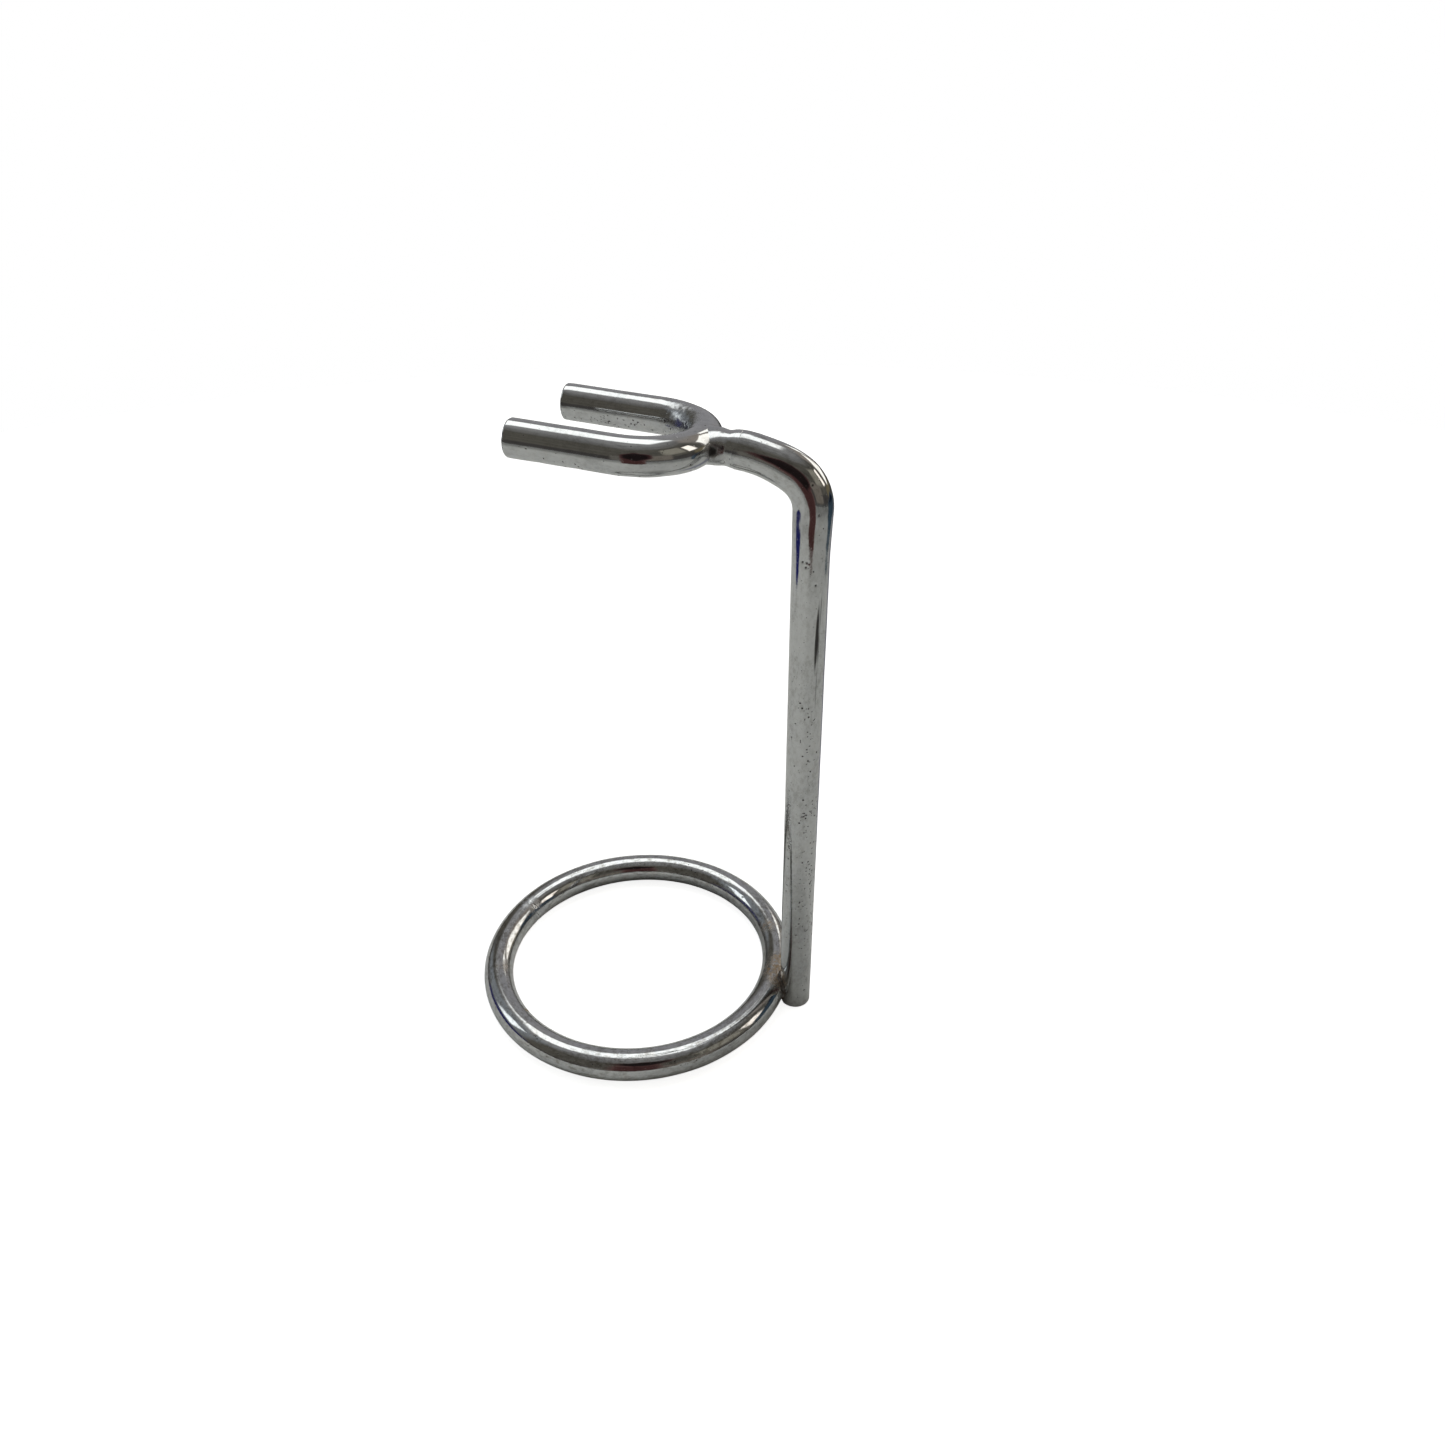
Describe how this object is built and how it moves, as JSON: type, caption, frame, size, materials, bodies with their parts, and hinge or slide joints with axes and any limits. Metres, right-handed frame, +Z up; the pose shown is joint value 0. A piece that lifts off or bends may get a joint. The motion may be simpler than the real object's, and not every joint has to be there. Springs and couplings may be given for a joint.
{
  "type": "tube stand",
  "caption": "Plated wire-form stand: a hoop base, an upright bar bent into a short arm, and a welded fork that holds a tube or handle upright over the hoop.",
  "frame": {"origin": "centre of the base hoop, on the bench plane", "axes": "+Z up along the post; -Y is the front, where the fork opens; the post stands at +Y; the part is mirror-symmetric in X apart from the hoop's closing weld"},
  "size_m": [0.0632, 0.0679, 0.1165],
  "materials": {
    "plated_bar": "bright plating with fine pits and light wear",
    "plated_weld": "ground weld under plating, duller and rougher, with pores and rust specks"
  },
  "bodies": {
    "root": {"base_ring": "plated_bar", "ring_seam_weld": "plated_weld", "upright_post": "plated_bar", "fork": "plated_bar", "foot_weld": "plated_weld", "neck_weld": "plated_weld"}
  },
  "joints": []
}
